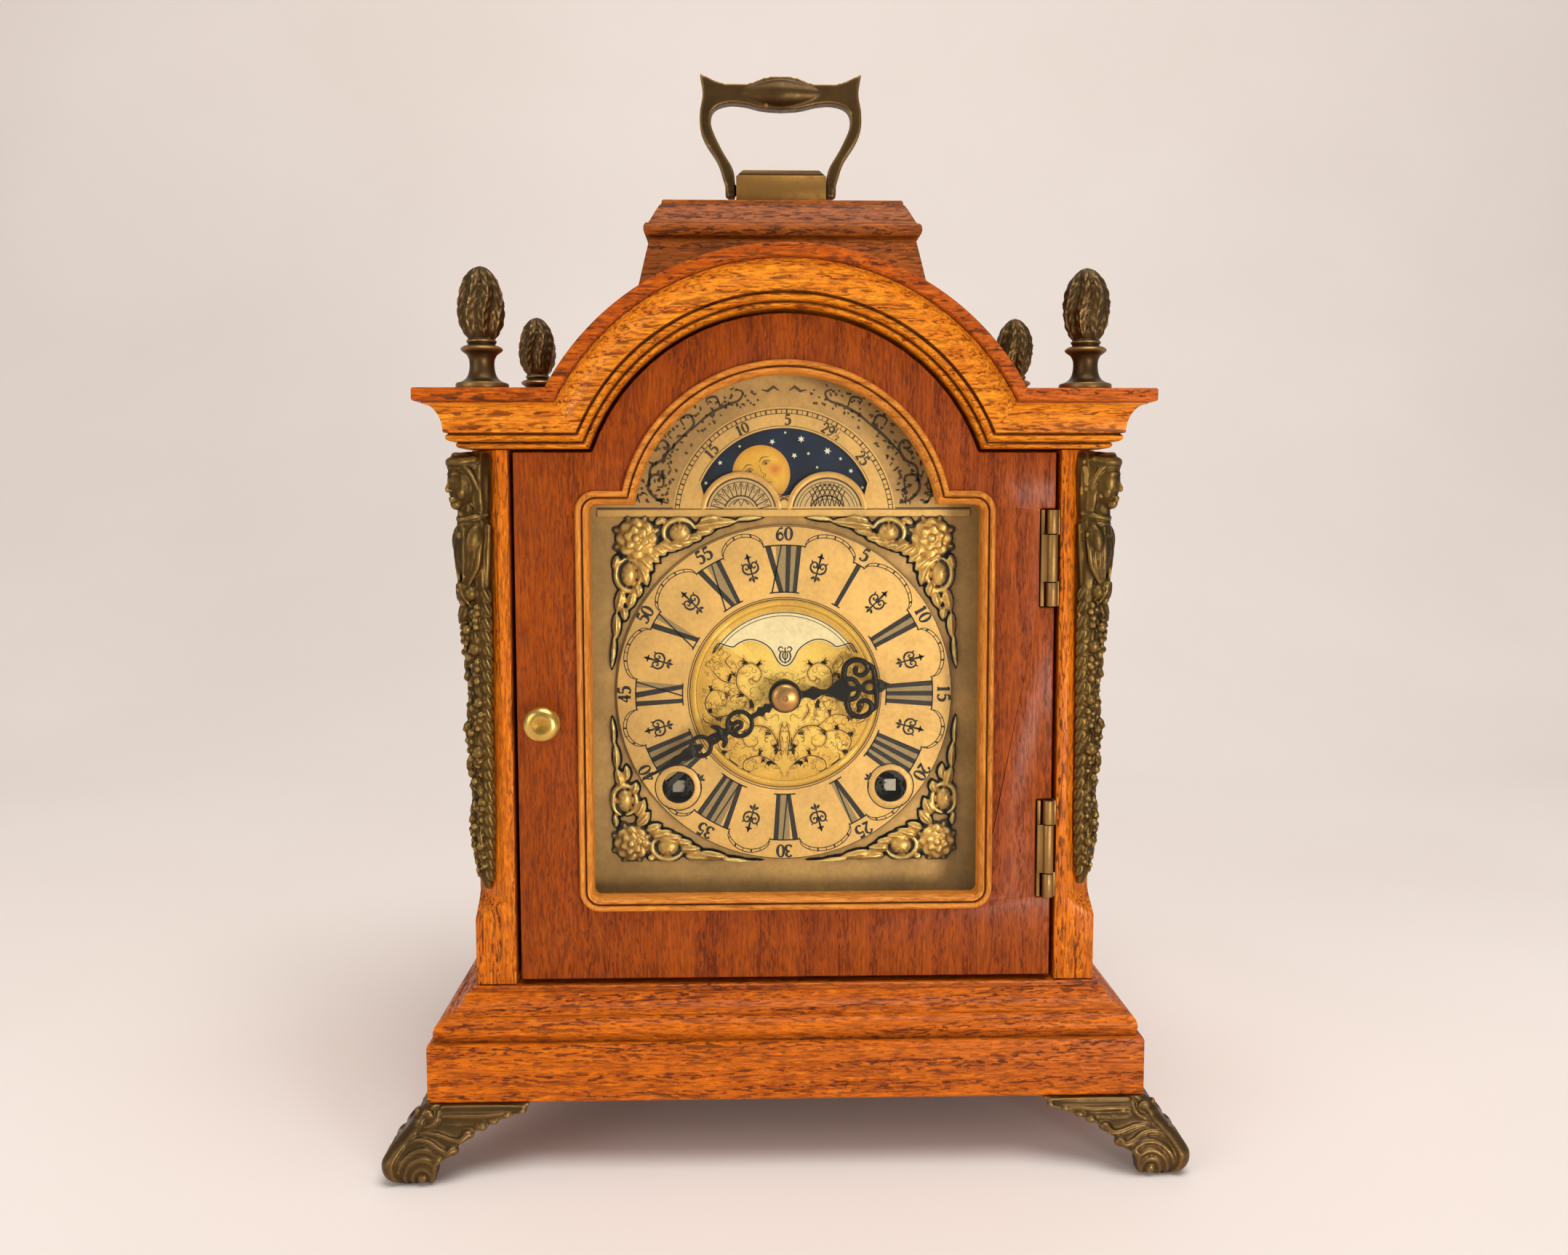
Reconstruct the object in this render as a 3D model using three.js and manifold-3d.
// Bracket clock: oak case with cast bronze mounts, brass dial and a two-train
// pendulum movement.  Millimetres, +Z up, front toward -Y, standing on z = 0.
import * as THREE from 'three';
import { mergeVertices } from 'three/addons/utils/BufferGeometryUtils.js';
import Module from 'manifold-3d';

const wasm = await Module();
wasm.setup();

// ---------------------------------------------------------------- driving sizes
const GAP = 0.3;                 // clearance between touching pieces

const BODY_HALF = 93;            // half width of the case between the mouldings
const BODY_FRONT = -57.5;
const CASE_BACK = 70;
const WALL = 12;                 // side panel, post and back frame thickness
const PANEL_IN = BODY_HALF - WALL;

const MOULDING_OUT = 12.5;       // how far plinth and cornice stand out
const PLINTH_BOTTOM = 21;
const PLINTH_TOP = 52;
const CORNICE_BOTTOM = 211.8;
const CORNICE_HIGH = 16.6;
const CORNICE_TOP = CORNICE_BOTTOM + CORNICE_HIGH;
const ARCH_Z = 191;              // centre of every arch on the front
const ARCH_R = 61.2;             // inner radius of the arched cornice
const CORNICE_DEEP = 18;         // thickness of the cornice behind the body face
const CORNICE_REAR = BODY_FRONT + CORNICE_DEEP;

const CHAMFER = 9;               // canted corner of the front posts
const CHAMFER_STOP = 72;        // height where the cant dies out

const DOOR_HALF = 79.5;
const DOOR_BOTTOM = 53.7;
const DOOR_SHOULDER = 210.8;
const DOOR_ARCH_R = 59.9;
const DOOR_BACK = -43;
const SIGHT_HALF = 57.5;         // glass opening of the door
const SIGHT_BOTTOM = 78.8;
const SIGHT_SHOULDER = 195.5;
const SIGHT_ARCH_R = 45;
const SIGHT_ARCH_Z = 188.4;
const BEAD_WIDE = 4.1;
const BEAD_FRONT = -60.2;
const GLASS_FRONT = -53;
const GLASS_THICK = 2;

const HINGE_X = 78.5;
const HINGE_Y = -58.2;
const HINGE_R = 1.65;
const HINGE_SPANS = { lower: [78, 107.2], upper: [165.5, 193.9] };
const HINGE_NOTCH = 74.9;        // door edge is cut back to here at each hinge

const DIAL_FRONT = -38;
const DIAL_THICK = 1.6;
const DIAL_HALF = 62;
const DIAL_BOTTOM = 74;
const DIAL_SHOULDER = 197;
const DIAL_ARCH_R = 49;
const HANDS_Z = 137.3;           // centre of the chapter ring
const RING_OUT = 52;
const RING_IN = 29.4;
const RING_FRONT = -39.5;
const WIND_X = 33;               // winding squares, 66 mm apart
const WIND_Z = 108.2;
const WIND_HOLE_R = 5;
const MOON_DISC_R = 31;

const PLATE_FRONT = -27;         // movement front plate, front face
const PLATE_THICK = 2.5;
const PLATE_BACK = 18;           // movement back plate, inner face
const PLATE_HALF = 66;
const PLATE_BOTTOM = 65.8;
const PLATE_TOP = 196;
const PIVOT_R = 0.7;
const PIVOT_HOLE_R = 1.05;
const ARBOR_R = 1.5;
const THIRD = [-15.6, 157.1];    // arbor places, x and z
const ESCAPE = [0, 171.1];
const PALLETS = [0, 184.1];
const MINUTE_STUD = [14.4, HANDS_Z];
const HAMMER_PIVOT = [40, 180];
const BARREL_R = 23.5;
const BOB_Z = 71;                // 113 mm below the pallets: a 0.675 s pendulum

const CADDY_BASE = CORNICE_TOP + GAP;
const CADDY_TOP = 290;
const BLOCK_TOP = 303.3;
const BLOCK_HALF = 14.5;
const HANDLE_PIVOT_Z = 298;

const FINIAL_X = 88.5;
const FINIAL_Y = { front: -53.5, rear: 57 };
const FOOT_OUT_X = 12.5;         // how far a foot flares past the plinth
const FOOT_OUT_Y = 10;

const BACK_DOOR_LEFT = -62;
const BACK_DOOR_PIVOT = [56.5, 64];
const BACK_DOOR_HALF_THICK = 5.5;
const BACK_DOOR_SPAN = [66, 204.4];

// -------------------------------------------------------------------- materials
const finish = (color, roughness, metalness) =>
  new THREE.MeshStandardMaterial({ color, roughness, metalness });
const OAK = finish(0xb4672a, 0.42, 0);
const OAK_DARK = finish(0x8f4a22, 0.42, 0);
const OAK_LIGHT = finish(0xc08a52, 0.45, 0);
const BRONZE = finish(0x5e4c2e, 0.5, 0.9);
const BRASS = finish(0xc79a4b, 0.3, 1);
const GILT = finish(0xb98f4a, 0.4, 1);
const DIAL_TAN = finish(0xa08c6c, 0.5, 0.6);
const RING_METAL = finish(0xcdbb93, 0.4, 0.8);
const BLACK_STEEL = finish(0x14120f, 0.4, 0.7);
const STEEL = finish(0x9a9a98, 0.3, 1);
const NAVY = finish(0x1d2a45, 0.5, 0);
const GLASS = new THREE.MeshStandardMaterial({
  color: 0xe8eef0, roughness: 0.05, metalness: 0, transparent: true, opacity: 0.2,
});

// ------------------------------------------------------------- geometry helpers
// Merge corners, drop collapsed faces and turn every face outward.
function tidy(geometry) {
  const bare = geometry.clone();
  bare.deleteAttribute('normal');
  bare.deleteAttribute('uv');
  const merged = mergeVertices(bare, 1e-4);
  const corner = merged.index.array;
  const at = merged.getAttribute('position');
  const point = (i) => new THREE.Vector3().fromBufferAttribute(at, i);
  const faces = [];
  let volume = 0;
  for (let i = 0; i < corner.length; i += 3) {
    const [a, b, c] = [corner[i], corner[i + 1], corner[i + 2]];
    if (a === b || b === c || c === a) continue;
    faces.push([a, b, c]);
    volume += point(a).dot(point(b).cross(point(c)));
  }
  const turned = volume < 0 ? faces.map(([a, b, c]) => [a, c, b]) : faces;
  merged.setIndex(turned.flat());
  return merged;
}

function toSolid(geometry) {
  const g = tidy(geometry);
  return new wasm.Manifold(new wasm.Mesh({
    numProp: 3,
    vertProperties: new Float32Array(g.getAttribute('position').array),
    triVerts: new Uint32Array(g.index.array),
  }));
}

function toGeometry(solid) {
  const mesh = solid.getMesh();
  const g = new THREE.BufferGeometry();
  g.setAttribute('position', new THREE.BufferAttribute(new Float32Array(mesh.vertProperties), 3));
  g.setIndex(Array.from(mesh.triVerts));
  return g;
}

const join = (...parts) =>
  toGeometry(parts.slice(1).reduce((sum, g) => sum.add(toSolid(g)), toSolid(parts[0])));
const cut = (base, ...tools) =>
  toGeometry(tools.reduce((left, g) => left.subtract(toSolid(g)), toSolid(base)));

// Box from its lowest to its highest corner.
function box([x0, y0, z0], [x1, y1, z1]) {
  const g = new THREE.BoxGeometry(x1 - x0, y1 - y0, z1 - z0);
  return g.translate((x0 + x1) / 2, (y0 + y1) / 2, (z0 + z1) / 2);
}

// Front-view outline (x, z) given thickness from yFront back to yBack.
function slab(shape, yFront, yBack, curveSegments = 12) {
  const g = new THREE.ExtrudeGeometry(shape, {
    depth: yBack - yFront, bevelEnabled: false, curveSegments,
  });
  return g.rotateX(Math.PI / 2).translate(0, yBack, 0);
}

// Turned pieces: profile of [radius, distance along the axis].
function turnY(profile, [x, z], segments = 16) {
  const g = new THREE.LatheGeometry(profile.map(([r, y]) => new THREE.Vector2(r, y)), segments);
  return g.translate(x, 0, z);
}
function turnZ(profile, [x, y], segments = 16) {
  const g = new THREE.LatheGeometry(profile.map(([r, z]) => new THREE.Vector2(r, z)), segments);
  return g.rotateX(Math.PI / 2).translate(x, y, 0);
}
const rodY = (r, y0, y1, place, segments = 8) =>
  turnY([[0, y0], [r, y0], [r, y1], [0, y1]], place, segments);
const rodZ = (r, z0, z1, place, segments = 8) =>
  turnZ([[0, z0], [r, z0], [r, z1], [0, z1]], place, segments);
const rodX = (r, x0, x1, [y, z], segments = 10) =>
  rodZ(r, x0, x1, [0, 0], segments).rotateY(Math.PI / 2).translate(0, y, z);

// Skin over matching rings of points, with flat ends.
function loft(rings, flatten) {
  const n = rings[0].length;
  const positions = rings.flat(2);
  const index = [];
  for (let k = 0; k + 1 < rings.length; k += 1) {
    for (let i = 0; i < n; i += 1) {
      const j = (i + 1) % n;
      const [a, b] = [k * n + i, k * n + j];
      index.push(a, b, b + n, a, b + n, a + n);
    }
  }
  const capAt = (k, flip) => {
    const outline = rings[k].map((p) => new THREE.Vector2(...flatten(p)));
    const faces = THREE.ShapeUtils.triangulateShape(outline, []);
    for (const [a, b, c] of faces) {
      const corners = flip ? [a, c, b] : [a, b, c];
      index.push(...corners.map((i) => i + k * n));
    }
  };
  const clockwise = THREE.ShapeUtils.area(rings[0].map((p) => new THREE.Vector2(...flatten(p)))) < 0;
  capAt(0, !clockwise);
  capAt(rings.length - 1, clockwise);
  const g = new THREE.BufferGeometry();
  g.setAttribute('position', new THREE.Float32BufferAttribute(positions, 3));
  g.setIndex(index);
  return g;
}
const fromAbove = ([x, y]) => [x, y];

// Outline from points, always turned anticlockwise so that its holes stay holes.
function shapeOf(points) {
  const corners = points.map(([x, z]) => new THREE.Vector2(x, z));
  return new THREE.Shape(THREE.ShapeUtils.area(corners) < 0 ? corners.reverse() : corners);
}
function roundHole(shape, [x, z], r) {
  const hole = new THREE.Path();
  hole.absarc(x, z, r, 0, 2 * Math.PI, true);
  shape.holes.push(hole);
}

// Rectangle with a round arch on top, grown outward by `more`.
function archPoints(half, bottom, shoulder, arcR, arcZ, more = 0, steps = 20) {
  const r = arcR + more;
  const rise = shoulder + more - arcZ;
  const from = Math.asin(rise / r);
  const points = [[-half - more, bottom - more], [half + more, bottom - more],
    [half + more, shoulder + more]];
  for (let i = 0; i <= steps; i += 1) {
    const a = from + ((Math.PI - 2 * from) * i) / steps;
    points.push([r * Math.cos(a), arcZ + r * Math.sin(a)]);
  }
  points.push([-half - more, shoulder + more]);
  return points;
}
const sightPoints = (more, steps) => archPoints(
  SIGHT_HALF, SIGHT_BOTTOM, SIGHT_SHOULDER, SIGHT_ARCH_R, SIGHT_ARCH_Z, more, steps);

const mirrorX = (g) => tidy(g.clone().scale(-1, 1, 1));

// --------------------------------------------------------------- assembling
const clock = new THREE.Group();
function add(name, geometry, material) {
  const mesh = new THREE.Mesh(tidy(geometry), material);
  mesh.name = name;
  clock.add(mesh);
}

// ------------------------------------------------------------------------ case
// Level of a rectangular moulding that runs round the front and both sides.
const mouldingRing = ([out, z]) => [
  [-BODY_HALF - out, BODY_FRONT - out, z], [BODY_HALF + out, BODY_FRONT - out, z],
  [BODY_HALF + out, CASE_BACK, z], [-BODY_HALF - out, CASE_BACK, z],
];

function plinth() {
  const ogee = [[MOULDING_OUT, PLINTH_BOTTOM], [MOULDING_OUT, 38.5], [11, 38.8], [10.8, 41],
    [9.6, 43.6], [7, 45.8], [4.4, 47.4], [3, 49.2], [2.6, 50.4], [1, 50.7], [1, PLINTH_TOP]];
  const outside = loft(ogee.map(mouldingRing), fromAbove);
  return cut(outside, box([-84, -48, PLINTH_BOTTOM - 5], [84, 58, PLINTH_TOP + 5]));
}

// Corner post: square below the stop, canted above it.
function cornerPost() {
  const ring = ([cant, z]) => [
    [PANEL_IN, BODY_FRONT + WALL, z], [PANEL_IN, BODY_FRONT, z],
    [BODY_HALF - cant, BODY_FRONT, z], [BODY_HALF, BODY_FRONT + cant, z],
    [BODY_HALF, BODY_FRONT + WALL, z],
  ];
  const levels = [[0.4, PLINTH_TOP + GAP], [0.4, CHAMFER_STOP], [3.4, CHAMFER_STOP + 1],
    [5, CHAMFER_STOP + 2.8], [6, CHAMFER_STOP + 5], [CHAMFER, CHAMFER_STOP + 7.5],
    [CHAMFER, CORNICE_BOTTOM - GAP]];
  return loft(levels.map(ring), fromAbove);
}

// Cornice section: rise above the lower edge, and how far it stands out.
function corniceSection() {
  const section = [[0, -CORNICE_DEEP], [0, 1], [1.6, 1], [1.9, 2.4]];
  const coveSteps = 5;
  for (let i = 0; i <= coveSteps; i += 1) {
    const t = (i / coveSteps) * (Math.PI / 2);
    section.push([2.4 + 9.8 * Math.sin(t), 10.4 - 7.6 * Math.cos(t)]);
  }
  section.push([12.8, 10.6], [13.4, MOULDING_OUT], [CORNICE_HIGH, MOULDING_OUT],
    [CORNICE_HIGH, -CORNICE_DEEP]);
  return section;
}

// Front cornice: mitred straight ends, then the same section carried over the arch.
function archCornice() {
  const section = corniceSection();
  const base = CORNICE_BOTTOM - ARCH_Z;
  const cornerRing = (side) => section.map(([u, out]) =>
    [side * (BODY_HALF + out), BODY_FRONT - out, CORNICE_BOTTOM + u]);
  const arcSteps = 22;
  const rings = [cornerRing(1)];
  for (let i = 0; i <= arcSteps; i += 1) {
    rings.push(section.map(([u, out]) => {
      const r = ARCH_R + u;
      const from = Math.asin((base + u) / r);
      const a = from + ((Math.PI - 2 * from) * i) / arcSteps;
      return [r * Math.cos(a), BODY_FRONT - out, ARCH_Z + r * Math.sin(a)];
    }));
  }
  rings.push(cornerRing(-1));
  const moulding = loft(rings, ([, y, z]) => [y, z]);
  // thin board behind the arch, open around the dial
  const board = shapeOf(archPoints(ARCH_R - 4, CORNICE_BOTTOM + GAP, CORNICE_BOTTOM + 1,
    ARCH_R + 3, ARCH_Z, 0));
  const mask = cut(slab(board, CORNICE_REAR - 3, CORNICE_REAR),
    slab(shapeOf(archPoints(46, 150, 160, 50, ARCH_Z)), -60, -30));
  return join(moulding, mask);
}

function sideCornice() {
  const section = corniceSection();
  const front = section.map(([u, out]) =>
    [BODY_HALF + out, BODY_FRONT - out + 0.45, CORNICE_BOTTOM + u]);
  const back = section.map(([u, out]) => [BODY_HALF + out, CASE_BACK, CORNICE_BOTTOM + u]);
  return loft([front, back], ([x, , z]) => [x, z]);
}

function topBoard() {
  const side = BODY_HALF - CORNICE_DEEP - GAP;
  const board = box([-side, CORNICE_REAR + GAP, CORNICE_BOTTOM + GAP], [side, CASE_BACK, CORNICE_TOP]);
  return cut(board, box([-54, -60, 200], [54, 36, 240]));
}

// Bell-shaped top, hollow underneath, with a pocket for the top of the dial.
function caddyTop() {
  const ring = ([halfX, halfY, z]) => [
    [-halfX, -halfY, z], [halfX, -halfY, z], [halfX, halfY, z], [-halfX, halfY, z]];
  const bell = [[60, 39.1, CADDY_BASE], [60, 39.1, 231.5], [58, 38.4, 233], [53.5, 36.3, 239],
    [49.6, 34.4, 246], [46.8, 32.8, 253], [44.8, 31.6, 261], [42.8, 29.9, 270],
    [41.2, 28.4, 277.2], [42.7, 30, 278.6], [42.7, 30, 281.4], [41.4, 28.5, 285],
    [38.8, 25.6, 288.4], [36.4, 23, CADDY_TOP]];
  const hollow = [[50, 33.6, CADDY_BASE - 5], [50, 33.6, 233], [42, 28, 246], [37, 24, 261],
    [34, 21, 268]];
  return cut(loft(bell.map(ring), fromAbove), loft(hollow.map(ring), fromAbove),
    box([-52, -50, 220], [52, -33.4, 241.6]));
}

function backFrame() {
  const outer = shapeOf([[-BODY_HALF, PLINTH_TOP + GAP], [BODY_HALF, PLINTH_TOP + GAP],
    [BODY_HALF, CORNICE_BOTTOM - GAP], [-BODY_HALF, CORNICE_BOTTOM - GAP]]);
  const [low, high] = BACK_DOOR_SPAN;
  const right = BACK_DOOR_PIVOT[0] + BACK_DOOR_HALF_THICK + 0.6;
  const opening = shapeOf([[BACK_DOOR_LEFT - 1, low - 1], [right, low - 1], [right, high + 1],
    [BACK_DOOR_LEFT - 1, high + 1]]);
  return cut(slab(outer, CASE_BACK - WALL, CASE_BACK), slab(opening, 0, 100),
    rodZ(1.9, low - 5, high + 5, BACK_DOOR_PIVOT, 10));
}

// Back door turns on two pins; its hinge edge is rounded about the pin line.
function backDoor() {
  const [px, py] = BACK_DOOR_PIVOT;
  const t = BACK_DOOR_HALF_THICK;
  const [low, high] = BACK_DOOR_SPAN;
  const plan = new THREE.Shape();
  plan.moveTo(BACK_DOOR_LEFT, py - t);
  plan.lineTo(px, py - t);
  plan.absarc(px, py, t, -Math.PI / 2, Math.PI / 2, false);
  plan.lineTo(BACK_DOOR_LEFT, py + t);
  const board = new THREE.ExtrudeGeometry(plan, {
    depth: high - low, bevelEnabled: false, curveSegments: 8,
  }).translate(0, 0, low);
  const recess = box([BACK_DOOR_LEFT + 22, py + t - 3, low + 22], [px - 18, py + t + 5, high - 22]);
  return join(cut(board, recess), rodZ(1.5, low - 4, high + 4, BACK_DOOR_PIVOT, 10));
}

add('plinth', plinth(), OAK);
add('bottom_board', box([-83.7, -47.7, 40], [83.7, 57.7, PLINTH_TOP]), OAK);
const sidePanel = box([PANEL_IN, BODY_FRONT + WALL + GAP, PLINTH_TOP + GAP],
  [BODY_HALF, CASE_BACK - WALL - GAP, CORNICE_BOTTOM - GAP]);
for (const [side, place] of [['right', (g) => g], ['left', mirrorX]]) {
  add(`${side}_side_panel`, place(sidePanel), OAK);
  add(`${side}_corner_post`, place(cornerPost()), OAK);
  add(`${side}_cornice`, place(sideCornice()), OAK);
}
add('arch_cornice', archCornice(), OAK);
add('top_board', topBoard(), OAK);
add('caddy_top', caddyTop(), OAK_DARK);
add('back_frame', backFrame(), OAK);
add('back_door', backDoor(), OAK_DARK);
add('back_door_knob', turnY([[0, 69.8], [2, 69.8], [2, 73], [4.6, 74.5], [5, 76.5], [3.4, 78.6],
  [0, 79]], [BACK_DOOR_LEFT + 9, 137], 12), BRASS);
add('seat_board', box([-PANEL_IN + GAP, -32, 56], [PANEL_IN - GAP, 22, PLATE_BOTTOM - GAP]), OAK);

// ------------------------------------------------------------------ front door
function doorFrame() {
  const outline = archPoints(DOOR_HALF, DOOR_BOTTOM, DOOR_SHOULDER, DOOR_ARCH_R, ARCH_Z, 0, 24);
  const notches = Object.values(HINGE_SPANS).map(([low, high]) =>
    box([HINGE_NOTCH, -70, low - GAP], [90, -30, high + GAP]));
  const rebateFront = GLASS_FRONT - GAP;
  return cut(slab(shapeOf(outline), BODY_FRONT, DOOR_BACK),
    slab(shapeOf(sightPoints(0.6)), -70, rebateFront + 1),
    slab(shapeOf(sightPoints(3.6)), rebateFront, -30), ...notches);
}

// Half-round bead planted round the opening.
function doorBead() {
  const back = BODY_FRONT - GAP;
  const levels = [[0, back], [0, -58.8], [0.9, -59.8], [2.1, BEAD_FRONT], [3.3, -59.5],
    [BEAD_WIDE, -58.4], [BEAD_WIDE, back]];
  const steps = 18;
  const rings = levels.map(([more, y]) => sightPoints(more, steps).map(([x, z]) => [x, y, z]));
  const n = rings[0].length;
  const index = [];
  for (let k = 0; k < rings.length; k += 1) {
    const next = (k + 1) % rings.length;
    for (let i = 0; i < n; i += 1) {
      const j = (i + 1) % n;
      index.push(k * n + i, k * n + j, next * n + j, k * n + i, next * n + j, next * n + i);
    }
  }
  const g = new THREE.BufferGeometry();
  g.setAttribute('position', new THREE.Float32BufferAttribute(rings.flat(2), 3));
  g.setIndex(index);
  return g;
}

add('door_frame', doorFrame(), OAK_DARK);
add('door_bead', doorBead(), OAK_LIGHT);
add('door_glass', slab(shapeOf(sightPoints(3.2)), GLASS_FRONT, GLASS_FRONT + GLASS_THICK), GLASS);
add('door_knob', turnY([[0, -57.8], [3.4, -57.8], [3.4, -59], [1.9, -60], [1.9, -62],
  [4.4, -63.6], [5.5, -65.6], [5.2, -67.4], [3.6, -68.6], [2.4, -68.2], [0, -67.8]], [-71, 132.2], 18),
BRASS);

// Butt hinge: case leaf carries the pin and the two end knuckles.
const END_KNUCKLE = 7;
function hingeLeaves([low, high]) {
  const place = [HINGE_X, HINGE_Y];
  const postFace = PANEL_IN - GAP;
  const caseLeaf = join(
    box([postFace - 0.95, HINGE_Y, low], [postFace, -46, high]),
    rodZ(HINGE_R, low, low + END_KNUCKLE, place, 12),
    rodZ(HINGE_R, high - END_KNUCKLE, high, place, 12),
    rodZ(0.8, low + 1, high - 1, place, 8),
  );
  const from = low + END_KNUCKLE + GAP;
  const to = high - END_KNUCKLE - GAP;
  const clear = box([HINGE_X - 2, HINGE_Y - 2.4, from], [postFace + 1, -44, to]);
  const barrel = join(
    rodZ(HINGE_R, from, to, place, 12),
    box([HINGE_NOTCH + GAP, HINGE_Y - 0.5, from], [HINGE_X - 1.2, HINGE_Y + 0.7, to]));
  const doorLeaf = join(
    cut(barrel, rodZ(1.15, from - 1, to + 1, place, 8)),
    box([HINGE_NOTCH + GAP, HINGE_Y, low], [HINGE_NOTCH + GAP + 0.95, -46, high]));
  return { caseLeaf: cut(caseLeaf, cut(clear, rodZ(0.8, from - 1, to + 1, place, 8))), doorLeaf };
}
for (const [level, span] of Object.entries(HINGE_SPANS)) {
  const { caseLeaf, doorLeaf } = hingeLeaves(span);
  add(`${level}_hinge_case_leaf`, caseLeaf, BRASS);
  add(`${level}_hinge_door_leaf`, doorLeaf, BRASS);
}

// -------------------------------------------------------- handle, finials, feet
function handleBlock() {
  const levels = [[BLOCK_HALF, 8, CADDY_TOP + GAP], [BLOCK_HALF, 8, 301.3],
    [BLOCK_HALF - 1.9, 6.2, BLOCK_TOP]];
  const ring = ([halfX, halfY, z]) => [
    [-halfX, -halfY, z], [halfX, -halfY, z], [halfX, halfY, z], [-halfX, halfY, z]];
  const bore = (side) => rodX(1.9, side > 0 ? 9 : -16, side > 0 ? 16 : -9, [0, HANDLE_PIVOT_Z]);
  return cut(loft(levels.map(ring), fromAbove), bore(1), bore(-1));
}

// Bail handle: a winged bar on two bowed legs, with a pin at each foot.
function carryingHandle() {
  const outer = [[17.3, 295.4], [17.9, 298.5], [18.9, 302], [20.6, 306.9], [24.5, 313],
    [26.1, 317.3], [26.2, 322.6], [25.3, 328.3], [26.3, 334.8]];
  const top = [[23.6, 333.1], [20.5, 331.8], [17.1, 331.1], [10.1, 331.3], [4.9, 333.1]];
  const under = [[6.2, 323.7], [11.9, 325], [17.1, 325.2], [21, 323.9], [22.6, 321.3],
    [22.3, 317.3], [19.3, 310.8], [15.9, 305.1], [15, 301.6], [14.9, 295.4]];
  const flip = (points) => points.map(([x, z]) => [-x, z]).reverse();
  const outline = [...outer, ...top, [0, 333.5], ...flip(top), ...flip(outer),
    ...flip(under), [0, 323.2], ...under];
  const half = 2.7;
  const bail = slab(shapeOf(outline), -half, half);
  const belly = turnZ([[0, -14], [3.2, -11], [5, -3], [5, 3], [3.2, 11], [0, 14]], [0, 0], 10)
    .rotateY(Math.PI / 2).translate(0, 0, 328.4);
  const pin = (side) => rodX(1.5, side > 0 ? 11 : -16, side > 0 ? 16 : -11, [0, HANDLE_PIVOT_Z]);
  return join(bail, belly, pin(1), pin(-1));
}

const FINIAL = [[0, 0], [7.7, 0], [7.7, 2.4], [4.4, 3.6], [3.4, 5.4], [3.4, 9.6], [4.8, 11.2],
  [6.15, 12], [6.15, 14.2], [3.6, 14.8], [5.6, 17.4], [6.7, 22], [6.2, 27.2], [4, 32.2],
  [1.4, 35.4], [0, 36.2]];

// Bracket foot in the front-left-low corner: angle section that flares at the sole.
function foot() {
  // height, flare past the plinth (0 to 1), inner end of each wing along the edge
  const levels = [[0, 0.74, 4, 6.5], [1.6, 0.93, 6.4, 6.5], [4, 1, 8, 6.4], [7, 0.97, 9.4, 6],
    [10.6, 0.8, 12.6, 5.4], [13.4, 0.58, 18, 4.8], [16.4, 0.36, 22, 4.2], [18.6, 0.22, 25, 4],
    [PLINTH_BOTTOM - GAP, 0, 30, 4]];
  const cornerX = BODY_HALF + MOULDING_OUT;
  const cornerY = BODY_FRONT - MOULDING_OUT;
  const ring = ([z, flare, wing, thick]) => {
    const x = cornerX + FOOT_OUT_X * flare;
    const y = cornerY - FOOT_OUT_Y * flare;
    const inX = cornerX - wing;
    const inY = cornerY + wing;
    const cant = 1.6;
    return [[inX, y, z], [x - cant, y, z], [x, y + cant, z], [x, inY, z],
      [x - thick, inY, z], [x - thick, y + thick, z], [inX, y + thick, z]];
  };
  return loft(levels.map(ring), fromAbove);
}

// Term figure and hanging swag on the canted corner, drawn as half-round sections.
function cornerMount() {
  // height, half width across the cant, how far it stands out
  const levels = [[80.2, 1.6, 1.6], [83, 2.8, 3], [90, 3.6, 4.2], [101, 4.6, 4.9], [112, 4.4, 4.6],
    [125, 5.2, 6], [138, 5, 5.2], [150, 5.6, 5.8], [160, 6, 6.6], [172, 6.2, 7.6],
    [185, 6.2, 8], [192, 6, 7.4], [194, 5.2, 7.4], [196.5, 6, 10.5], [203, 6.3, 12],
    [208.5, 6.2, 11.4], [211.2, 5, 8]];
  const centre = [BODY_HALF - CHAMFER / 2, BODY_FRONT + CHAMFER / 2];
  const d = Math.SQRT1_2;
  const place = (across, out, z) => [
    centre[0] + d * (across + out), centre[1] + d * (across - out), z];
  const arcSteps = 6;
  const ring = ([z, half, out]) => {
    const points = [];
    for (let i = 0; i <= arcSteps; i += 1) {
      const a = (Math.PI * i) / arcSteps;
      points.push(place(-half * Math.cos(a), GAP + 0.3 + (out - 0.6) * Math.sin(a), z));
    }
    points.push(place(half, GAP, z), place(-half, GAP, z));
    return points;
  };
  return loft(levels.map(ring), fromAbove);
}

add('handle_block', handleBlock(), BRASS);
add('carrying_handle', carryingHandle(), BRONZE);
const footShape = tidy(foot());
const mirrorY = (g) => {
  const middle = (BODY_FRONT - MOULDING_OUT + CASE_BACK) / 2;
  return tidy(g.clone().translate(0, -middle, 0).scale(1, -1, 1).translate(0, middle, 0));
};
for (const [side, place] of [['right', (g) => g], ['left', mirrorX]]) {
  const sign = side === 'right' ? 1 : -1;
  add(`front_${side}_foot`, place(footShape), BRONZE);
  add(`rear_${side}_foot`, place(mirrorY(footShape)), BRONZE);
  add(`${side}_corner_mount`, place(cornerMount()), BRONZE);
  for (const [end, y] of Object.entries(FINIAL_Y)) {
    const profile = FINIAL.map(([r, h]) => [r, CORNICE_TOP + GAP + h]);
    add(`${end}_${side}_finial`, turnZ(profile, [sign * FINIAL_X, y], 12), BRONZE);
  }
}

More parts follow.
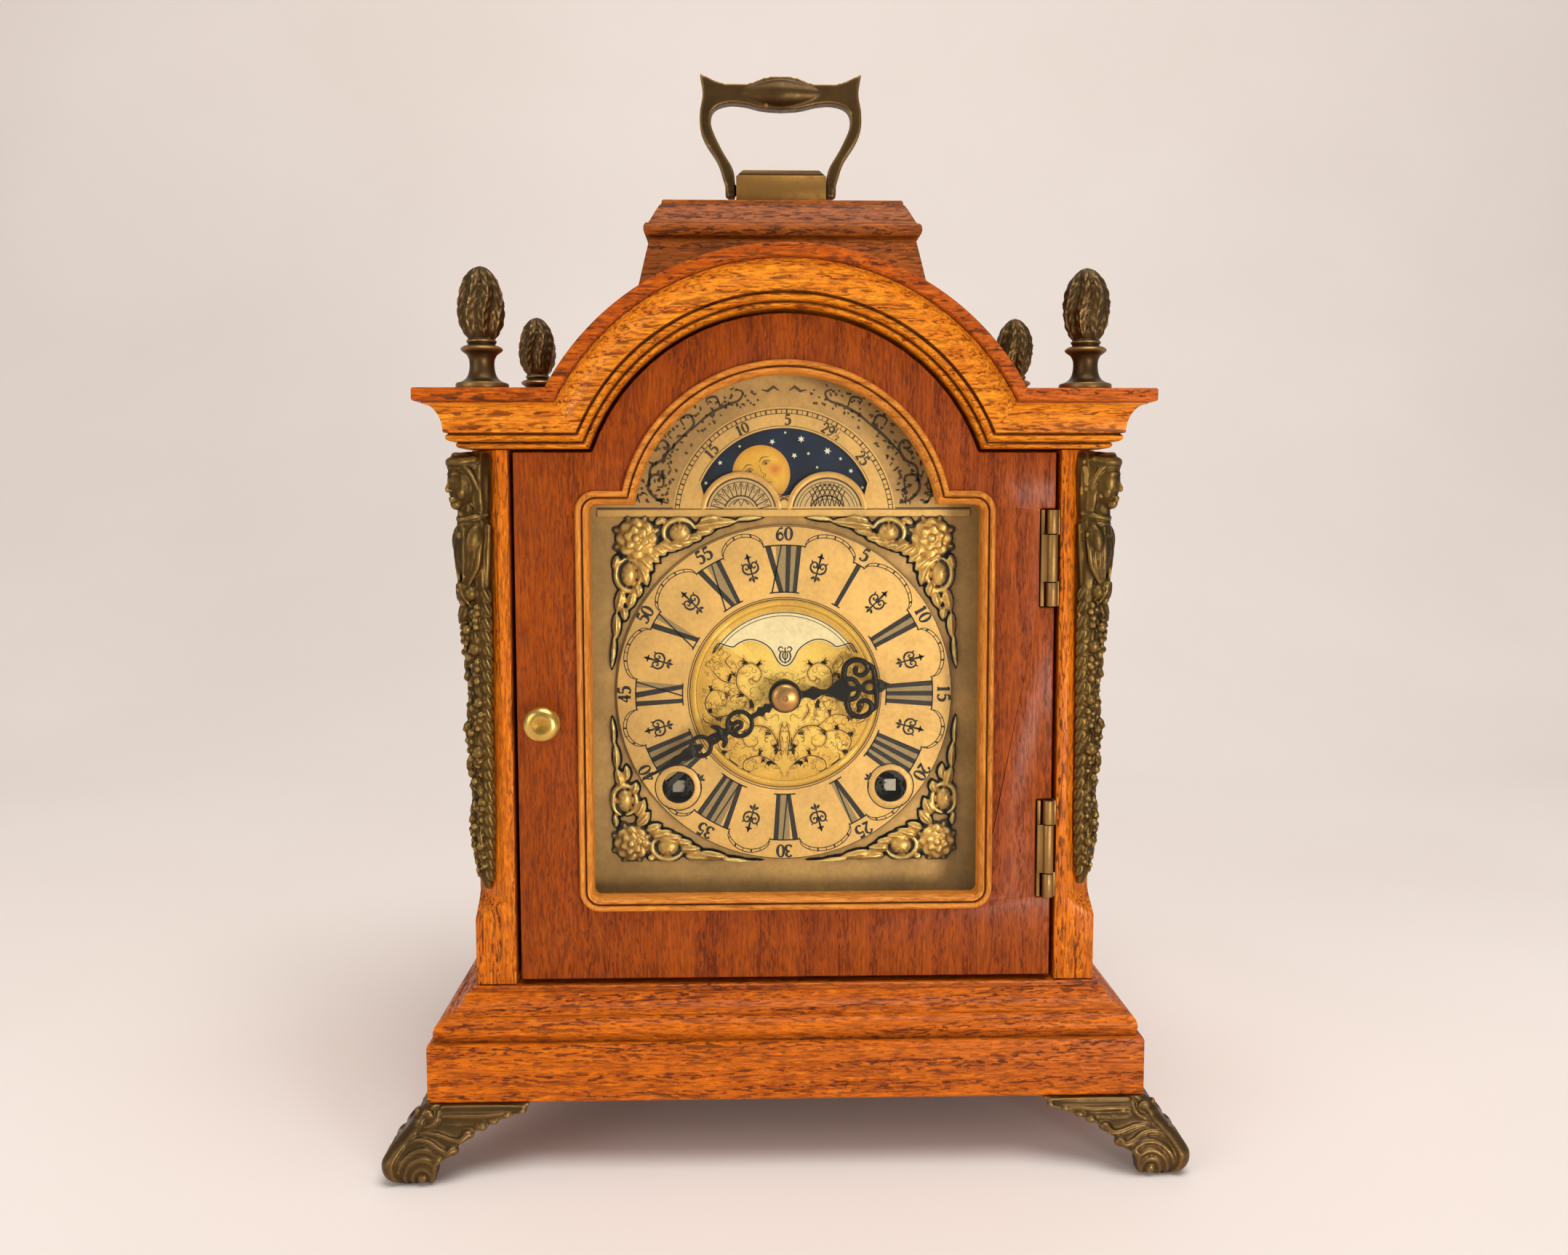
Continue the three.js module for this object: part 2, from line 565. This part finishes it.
// ------------------------------------------------------------------------ dial
// Moon opening: round top, and two humps that hide the moon at each end.
function moonOpening() {
  const r = 27.9;
  const points = [];
  const from = 0.41;
  const steps = 14;
  for (let i = 0; i <= steps; i += 1) {
    const a = from + ((Math.PI - 2 * from) * i) / steps;
    points.push([r * Math.cos(a), ARCH_Z + r * Math.sin(a)]);
  }
  for (const side of [-1, 1]) {
    for (let i = 0; i <= 6; i += 1) {
      const a = Math.PI * (0.86 - (0.72 * i) / 6);
      points.push([side * 13.2 + 12.6 * Math.cos(a), 193 + 12.6 * Math.sin(a)]);
    }
  }
  return points;
}

function dialPlate() {
  const outline = shapeOf(archPoints(DIAL_HALF, DIAL_BOTTOM, DIAL_SHOULDER, DIAL_ARCH_R, ARCH_Z, 0, 16));
  outline.holes.push(new THREE.Path(moonOpening().reverse().map(([x, z]) => new THREE.Vector2(x, z))));
  for (const side of [-1, 1]) roundHole(outline, [side * WIND_X, WIND_Z], WIND_HOLE_R);
  roundHole(outline, [0, HANDS_Z], 4.6);
  return slab(outline, DIAL_FRONT, DIAL_FRONT + DIAL_THICK, 6);
}

function chapterRing() {
  const outline = new THREE.Shape();
  outline.absarc(0, HANDS_Z, RING_OUT, 0, 2 * Math.PI, false);
  roundHole(outline, [0, HANDS_Z], RING_IN);
  for (const side of [-1, 1]) roundHole(outline, [side * WIND_X, WIND_Z], WIND_HOLE_R);
  return slab(outline, RING_FRONT, DIAL_FRONT - GAP, 16);
}

function dialCentre() {
  const outline = new THREE.Shape();
  outline.absarc(0, HANDS_Z, RING_IN - GAP, 0, 2 * Math.PI, false);
  roundHole(outline, [0, HANDS_Z], 4.6);
  return slab(outline, -39, DIAL_FRONT - GAP, 12);
}

// Cast corner ornament filling the space between the ring and the dial's corner.
function spandrel(side, up) {
  const r = RING_OUT + 0.5;
  const edgeX = 54;
  const edgeZ = up > 0 ? 55.3 : 52.9;
  const points = [[side * edgeX, HANDS_Z + up * 6]];
  points.push([side * edgeX, HANDS_Z + up * edgeZ]);
  const innerX = up > 0 ? 6 : 3;
  const to = Math.acos(innerX / r);
  if (up > 0) points.push([side * innerX, HANDS_Z + edgeZ]);
  const steps = 12;
  const from = Math.asin(6 / r);
  for (let i = 0; i <= steps; i += 1) {
    const a = to + ((from - to) * i) / steps;
    const inside = up > 0 || r * Math.sin(a) < edgeZ;
    if (inside) points.push([side * r * Math.cos(a), HANDS_Z + up * r * Math.sin(a)]);
  }
  return slab(shapeOf(points), -39.8, DIAL_FRONT - GAP);
}

add('dial_plate', dialPlate(), DIAL_TAN);
add('chapter_ring', chapterRing(), RING_METAL);
add('dial_centre', dialCentre(), GILT);
for (const [level, up] of [['upper', 1], ['lower', -1]]) {
  for (const [name, side] of [['left', -1], ['right', 1]]) {
    add(`${level}_${name}_spandrel`, spandrel(side, up), GILT);
  }
}
add('moon_disc', turnY([[0, -36], [MOON_DISC_R, -36], [MOON_DISC_R, -35], [3, -35], [3, -33],
  [1.4, -33], [1.4, PLATE_FRONT + 1.2], [0, PLATE_FRONT + 1.2]], [0, ARCH_Z], 28), NAVY);

// Pierced hands are drawn pointing to twelve, then turned to the time.
function handPiece(outline, holes, hubHole, yFront, clockDegrees) {
  for (const [x, r, size] of holes) roundHole(outline, [x, r], size);
  roundHole(outline, [0, 0], hubHole);
  const g = slab(outline, yFront, yFront + 1.2, 5);
  return g.rotateY(THREE.MathUtils.degToRad(clockDegrees)).translate(0, 0, HANDS_Z);
}
// Right half of a hand's outline is mirrored to the left.
const bothSides = (half) => shapeOf([...half, ...half.map(([x, z]) => [-x, z]).reverse()]);

function hourHand() {
  const half = [[2.6, -4.3], [5, -1], [5, 2], [2.6, 4.4], [1.3, 9], [1.3, 12.4], [2.4, 14],
    [1.3, 15.6], [1.2, 17.6], [3.8, 18.2], [4.6, 20.6], [4, 22], [8.2, 21.4], [9.6, 23.8],
    [8.2, 26.2], [4, 25.6], [4.4, 27.4], [2.8, 29.2], [1.2, 29.6], [0.3, 33]];
  return handPiece(bothSides(half), [[0, 20.6, 1.6], [0, 26.6, 1.3], [6.6, 23.8, 1.2],
    [-6.6, 23.8, 1.2]], 3.9, -45.6, 84);
}

function minuteHand() {
  const half = [[2.4, -4], [4.2, -1.2], [4.2, 1.8], [2, 4], [1.1, 8], [1.1, 13], [3.1, 15.2],
    [3.5, 17.6], [3.1, 19.8], [1.2, 21.6], [1.1, 25.6], [3.4, 27.6], [3.9, 30.4], [3.2, 33],
    [1.4, 35.2], [1, 38], [0.25, 50.7]];
  return handPiece(bothSides(half), [[0, 17.5, 1.9], [0, 30.4, 2.2]], 1.8, -48.5, 240);
}

add('hour_hand', hourHand(), BLACK_STEEL);
add('minute_hand', minuteHand(), BLACK_STEEL);
add('hand_nut', turnY([[1.8, -48.8], [4.15, -48.8], [4.15, -49.7], [2.6, -50.6], [0, -50.7],
  [0, -50.2], [1.8, -50.2], [1.8, -48.8]], [0, HANDS_Z], 12), BRASS);

// -------------------------------------------------------------------- movement
// Wheel outline: pointed teeth with flat roots; `phase` turns it in tooth pitches.
function toothedOutline(teeth, module, { phase = 0, wide = 0.46, add: tip = 0.72, root = 0.85 } = {}) {
  const pitchR = (teeth * module) / 2;
  const points = [];
  for (let i = 0; i < teeth; i += 1) {
    for (const [step, r] of [[-wide / 2, pitchR - root * module], [0, pitchR + tip * module],
      [wide / 2, pitchR - root * module]]) {
      const a = ((i + phase + step) * 2 * Math.PI) / teeth;
      points.push([r * Math.sin(a), r * Math.cos(a)]);
    }
  }
  return points;
}

// Wheel blank with four windows between its spokes.
function wheel(points, rimR, hubR, y0, y1, place) {
  const outline = shapeOf(points);
  const spoke = 1.6;
  for (let i = 0; rimR > 0 && i < 4; i += 1) {
    const window = new THREE.Path();
    const turn = (i * Math.PI) / 2;
    const at = (r, lead) => {
      const a = turn + lead;
      return [r * Math.cos(a), r * Math.sin(a)];
    };
    const steps = 4;
    const edge = (r, back) => {
      const margin = Math.asin(spoke / r);
      return [...Array(steps + 1).keys()].map((k) => {
        const f = (back ? steps - k : k) / steps;
        return at(r, margin + (Math.PI / 2 - 2 * margin) * f);
      });
    };
    const points2 = [...edge(rimR, false), ...edge(hubR, true)];
    window.setFromPoints(points2.reverse().map(([x, z]) => new THREE.Vector2(x, z)));
    outline.holes.push(window);
  }
  return slab(outline, y0, y1).translate(place[0], 0, place[1]);
}

const PLATE_REAR = PLATE_BACK + PLATE_THICK;
const CENTRE_DISTANCE = Math.hypot(WIND_X, HANDS_Z - WIND_Z);
const GREAT_TEETH = 72;
const PINION_LEAVES = 6;
const TRAIN_TEETH = 80;
const GREAT_MODULE = (2 * CENTRE_DISTANCE) / (GREAT_TEETH + PINION_LEAVES);
const moduleBetween = (a, b) =>
  (2 * Math.hypot(a[0] - b[0], a[1] - b[1])) / (TRAIN_TEETH + PINION_LEAVES);
const CENTRE = [0, HANDS_Z];
const CENTRE_MODULE = moduleBetween(CENTRE, THIRD);
const THIRD_MODULE = moduleBetween(THIRD, ESCAPE);
const MOTION_DISTANCE = MINUTE_STUD[0];
const CANNON_TEETH = 12;
const MINUTE_TEETH = 36;
const MINUTE_PINION = 10;
const HOUR_TEETH = 40;
const CANNON_MODULE = (2 * MOTION_DISTANCE) / (CANNON_TEETH + MINUTE_TEETH);
const HOUR_MODULE = (2 * MOTION_DISTANCE) / (MINUTE_PINION + HOUR_TEETH);

// Tooth phase that puts a tooth of the first wheel on the line to the second.
const bearing = (from, to) => Math.atan2(to[0] - from[0], to[1] - from[1]) / (2 * Math.PI);
const toothToward = (teeth, from, to) => bearing(from, to) * teeth;
const gapToward = (teeth, from, to) => bearing(from, to) * teeth + 0.5;
const LEAF = { wide: 0.34, add: 0.62, root: 0.95 };

function plate(y0, holes) {
  const outline = shapeOf([[-PLATE_HALF, PLATE_BOTTOM], [PLATE_HALF, PLATE_BOTTOM],
    [PLATE_HALF, PLATE_TOP], [-PLATE_HALF, PLATE_TOP]]);
  for (const [place, r] of holes) roundHole(outline, place, r);
  return slab(outline, y0, y0 + PLATE_THICK, 4);
}
const PILLARS = [[-61, 72], [61, 72], [-58, 190], [58, 190]];
const arborHoles = [[[WIND_X, WIND_Z], 3.4], [[-WIND_X, WIND_Z], 3.4], [THIRD, PIVOT_HOLE_R],
  [ESCAPE, PIVOT_HOLE_R], [HAMMER_PIVOT, PIVOT_HOLE_R]];
add('front_plate', plate(PLATE_FRONT, [...arborHoles, [CENTRE, 2.2], [PALLETS, PIVOT_HOLE_R],
  [MINUTE_STUD, PIVOT_HOLE_R], [[0, ARCH_Z], 1.9]]), BRASS);
const pillars = PILLARS.map((place) =>
  rodY(3.3, PLATE_FRONT + PLATE_THICK + GAP, PLATE_BACK + 1, place, 8));
add('back_plate', join(plate(PLATE_BACK, [...arborHoles, [CENTRE, 1.1], [PALLETS, 2.6]]),
  ...pillars), BRASS);

// Going barrel: drum with a toothed rim at one end, hollow for its mainspring.
function barrel(x, wheelY, phase, drumEnd) {
  const place = [x, WIND_Z];
  const rim = wheel(toothedOutline(GREAT_TEETH, GREAT_MODULE, { phase }), 0, 0, wheelY, wheelY + 2, place);
  const drum = turnY([[0, wheelY + 1], [BARREL_R, wheelY + 1], [BARREL_R, drumEnd], [0, drumEnd]], place, 24);
  const hollow = turnY([[0, wheelY + 3], [BARREL_R - 1.6, wheelY + 3], [BARREL_R - 1.6, drumEnd - 1.6],
    [0, drumEnd - 1.6]], place, 24);
  return cut(join(rim, drum), hollow, rodY(3.5, wheelY - 2, drumEnd + 2, place, 10));
}
const timePhase = gapToward(GREAT_TEETH, [WIND_X, WIND_Z], CENTRE);
add('time_barrel', barrel(WIND_X, -21, timePhase, 5), BRASS);
add('strike_barrel', barrel(-WIND_X, -16.6, 0, 5), BRASS);

// Winding arbor: round through the barrel, square at the key end.
for (const [name, x] of [['time', WIND_X], ['strike', -WIND_X]]) {
  const round = rodY(3, PLATE_FRONT - 0.6, PLATE_REAR - 0.2, [x, WIND_Z], 10);
  const square = box([x - 1.9, -37.4, WIND_Z - 1.9], [x + 1.9, PLATE_FRONT, WIND_Z + 1.9]);
  add(`${name}_winding_arbor`, join(round, square), STEEL);
}

// Centre arbor with its driving pinion, great wheel of the train and cannon pinion.
function centreWheel() {
  const pinion = toothedOutline(PINION_LEAVES, GREAT_MODULE,
    { ...LEAF, phase: toothToward(PINION_LEAVES, CENTRE, [WIND_X, WIND_Z]) });
  const rim = toothedOutline(TRAIN_TEETH, CENTRE_MODULE,
    { phase: gapToward(TRAIN_TEETH, CENTRE, THIRD) });
  const cannon = toothedOutline(CANNON_TEETH, CANNON_MODULE,
    { ...LEAF, phase: toothToward(CANNON_TEETH, CENTRE, MINUTE_STUD) });
  return join(
    turnY([[0, -50], [ARBOR_R, -50], [ARBOR_R, PLATE_BACK - 0.4], [PIVOT_R, PLATE_BACK - 0.4],
      [PIVOT_R, PLATE_REAR - 0.2], [0, PLATE_REAR - 0.2]], CENTRE, 8),
    wheel(pinion, 0, 0, -22.4, -18.4, CENTRE),
    wheel(rim, 20.4, 4, 8, 9.4, CENTRE),
    wheel(cannon, 0, 0, -29.3, -27.5, CENTRE),
  );
}

function arborWithPivots([x, z], r = 1.1) {
  const front = PLATE_FRONT + PLATE_THICK;
  return turnY([[0, PLATE_FRONT + 0.4], [PIVOT_R, PLATE_FRONT + 0.4], [PIVOT_R, front + 0.4],
    [r, front + 0.4], [r, PLATE_BACK - 0.4], [PIVOT_R, PLATE_BACK - 0.4],
    [PIVOT_R, PLATE_REAR - 0.4], [0, PLATE_REAR - 0.4]], [x, z], 8);
}

function thirdWheel() {
  const pinion = toothedOutline(PINION_LEAVES, CENTRE_MODULE,
    { ...LEAF, phase: toothToward(PINION_LEAVES, THIRD, CENTRE) });
  const rim = toothedOutline(TRAIN_TEETH, THIRD_MODULE,
    { phase: gapToward(TRAIN_TEETH, THIRD, ESCAPE) });
  return join(arborWithPivots(THIRD, 0.9), wheel(pinion, 0, 0, 7, 10.4, THIRD),
    wheel(rim, 16.8, 3.4, 12.2, 13.4, THIRD));
}

function escapeWheel() {
  const pinion = toothedOutline(PINION_LEAVES, THIRD_MODULE,
    { ...LEAF, phase: toothToward(PINION_LEAVES, ESCAPE, THIRD) });
  const teeth = 30;
  const points = [];
  for (let i = 0; i < teeth; i += 1) {
    const a = (i * 2 * Math.PI) / teeth;
    const lean = a + 0.07;
    points.push([7.2 * Math.sin(a), 7.2 * Math.cos(a)], [9 * Math.sin(lean), 9 * Math.cos(lean)]);
  }
  return join(arborWithPivots(ESCAPE, 0.75), wheel(pinion, 0, 0, 11.2, 14.4, ESCAPE),
    wheel(points, 5.6, 2.4, 3, 4.2, ESCAPE));
}

// Hour wheel on the pipe that carries the hour hand.
function hourWheel() {
  const rim = toothedOutline(HOUR_TEETH, HOUR_MODULE,
    { phase: gapToward(HOUR_TEETH, CENTRE, MINUTE_STUD) });
  const pipe = rodY(3.6, -45.9, -29.9, CENTRE, 12);
  return cut(join(wheel(rim, 9.4, 4.6, -31.1, -29.9, CENTRE), pipe),
    rodY(1.9, -47, -28, CENTRE, 10));
}

function minuteWheel() {
  const rim = toothedOutline(MINUTE_TEETH, CANNON_MODULE,
    { phase: gapToward(MINUTE_TEETH, MINUTE_STUD, CENTRE) });
  const pinion = toothedOutline(MINUTE_PINION, HOUR_MODULE,
    { ...LEAF, phase: toothToward(MINUTE_PINION, MINUTE_STUD, CENTRE) });
  return join(wheel(rim, 8.6, 2.6, -28.9, -27.8, MINUTE_STUD),
    wheel(pinion, 0, 0, -31.7, -28.4, MINUTE_STUD),
    rodY(PIVOT_R, -32.4, PLATE_FRONT + PLATE_THICK - 0.4, MINUTE_STUD));
}

// Pallets, rod and bob swing as one on the pallet arbor.
function pendulum() {
  const [x, z] = PALLETS;
  const anchor = shapeOf([[-2.4, z + 2.4], [2.4, z + 2.4], [8.6, z - 3.4], [7.4, z - 6],
    [6.6, z - 5.6], [6.9, z - 3.6], [2, z - 2.2], [-2, z - 2.2], [-6.9, z - 3.6],
    [-6.6, z - 5.6], [-7.4, z - 6], [-8.6, z - 3.4]]);
  const rodPlaneY = 29;
  return join(
    turnY([[0, PLATE_FRONT + 0.4], [PIVOT_R, PLATE_FRONT + 0.4],
      [PIVOT_R, PLATE_FRONT + PLATE_THICK + 0.4], [1.3, PLATE_FRONT + PLATE_THICK + 0.4],
      [1.3, rodPlaneY + 1], [0, rodPlaneY + 1]], PALLETS, 8),
    slab(anchor, 3, 4.2),
    box([-2.6, rodPlaneY - 1.2, z - 3], [2.6, rodPlaneY + 1.2, z + 3]),
    box([-1, rodPlaneY - 0.6, BOB_Z - 16], [1, rodPlaneY + 0.6, z]),
    turnY([[0, rodPlaneY - 4], [6, rodPlaneY - 3.4], [13, rodPlaneY - 0.6], [13, rodPlaneY + 0.6],
      [6, rodPlaneY + 3.4], [0, rodPlaneY + 4]], [x, BOB_Z], 20),
  );
}

// Bell hung mouth down from a post, on a strap across the tops of the plates.
const BELL_R = 27;
function bell() {
  const top = 226;
  const wallThick = 1.6;
  const high = 21;
  const outer = [];
  const inner = [];
  const steps = 7;
  for (let i = 0; i <= steps; i += 1) {
    const a = (i / steps) * (Math.PI / 2);
    outer.push([BELL_R * Math.cos(a), top - high + high * Math.sin(a)]);
    inner.push([(BELL_R - wallThick) * Math.cos(a), top - high + (high - wallThick) * Math.sin(a)]);
  }
  outer[steps][0] = 0;
  inner[steps][0] = 0;
  const cup = turnZ([...outer, ...inner.reverse(), outer[0]], [0, 0], 22);
  return join(cup, rodZ(2.4, 198, top + 3, [0, 0], 8),
    box([-5, PLATE_FRONT, PLATE_TOP + GAP], [5, PLATE_REAR, PLATE_TOP + 3]));
}

function strikeHammer() {
  const [x, z] = HAMMER_PIVOT;
  const armY = 8;
  const headX = Math.sqrt(BELL_R ** 2 - armY ** 2) + 4 + 1;
  const headZ = 208;
  const lean = Math.atan2(headX - x, headZ - z);
  const long = Math.hypot(headX - x, headZ - z);
  const arm = box([-1, armY - 1, 0], [1, armY + 1, long]).rotateY(lean).translate(x, 0, z);
  const head = new THREE.SphereGeometry(4, 10, 7).translate(headX, armY, headZ);
  return join(arborWithPivots(HAMMER_PIVOT, 1.5), arm, head);
}

add('centre_wheel', centreWheel(), BRASS);
add('third_wheel', thirdWheel(), BRASS);
add('escape_wheel', escapeWheel(), BRASS);
add('hour_wheel', hourWheel(), BRASS);
add('minute_wheel', minuteWheel(), BRASS);
add('pendulum', pendulum(), BRASS);
add('bell', bell(), BRASS);
add('strike_hammer', strikeHammer(), STEEL);

export default clock;
